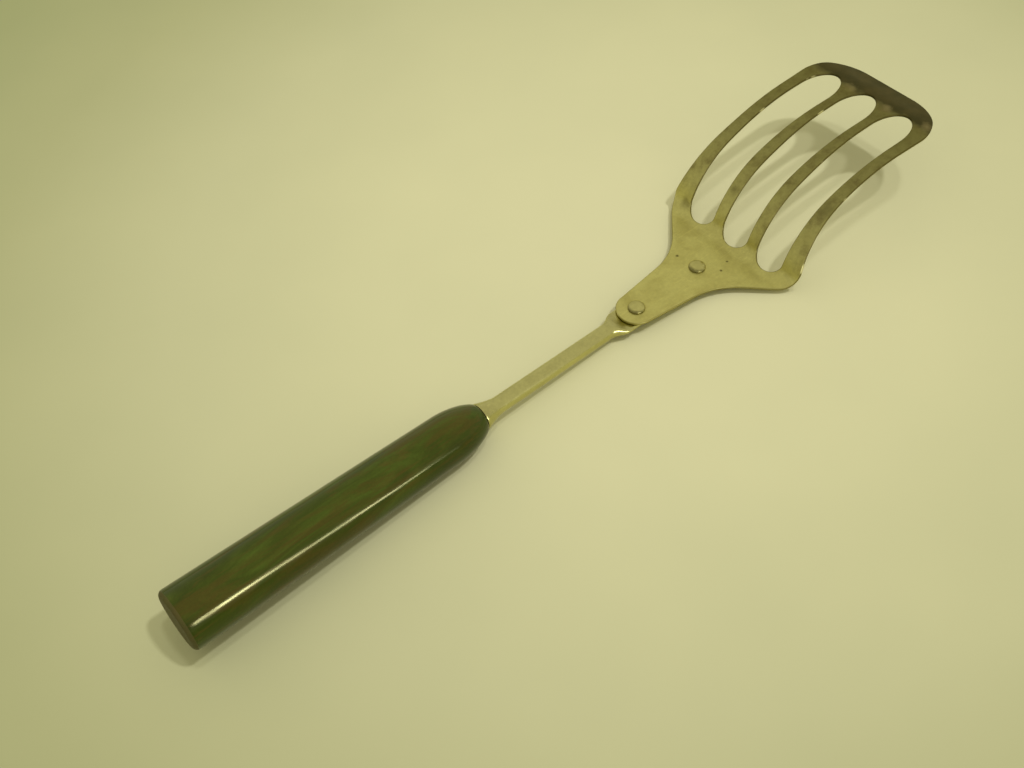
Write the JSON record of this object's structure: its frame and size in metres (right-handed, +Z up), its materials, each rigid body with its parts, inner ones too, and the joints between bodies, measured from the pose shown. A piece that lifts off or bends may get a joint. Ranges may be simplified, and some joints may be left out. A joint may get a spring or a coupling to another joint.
{
  "type": "slotted kitchen turner",
  "caption": "Slotted turner with a bent steel blade riveted to a tubular shank and a tapered green moulded handle, for lifting and draining food.",
  "frame": {"origin": "middle of the footprint, on the surface that the turner lies on", "axes": "+X from the handle towards the lip of the blade, +Y to the left, +Z up; the tool lies nose down by about 3.8 degrees, as it comes to rest"},
  "size_m": [0.3158, 0.0608, 0.0294],
  "materials": {
    "handle": "polished cast phenolic, dark green with brown marbling along its length",
    "tang": "plain drawn steel rod, out of sight",
    "shank": "bright rolled tube with light wear",
    "blade": "plain sheet, dulled and lightly tarnished, with a few small pits",
    "rivets": "plain steel, polished by wear on the heads"
  },
  "bodies": {
    "root": {"handle": "handle", "tang": "tang", "shank": "shank", "blade": "blade", "rear_rivet": "rivets", "front_rivet": "rivets"}
  },
  "joints": []
}
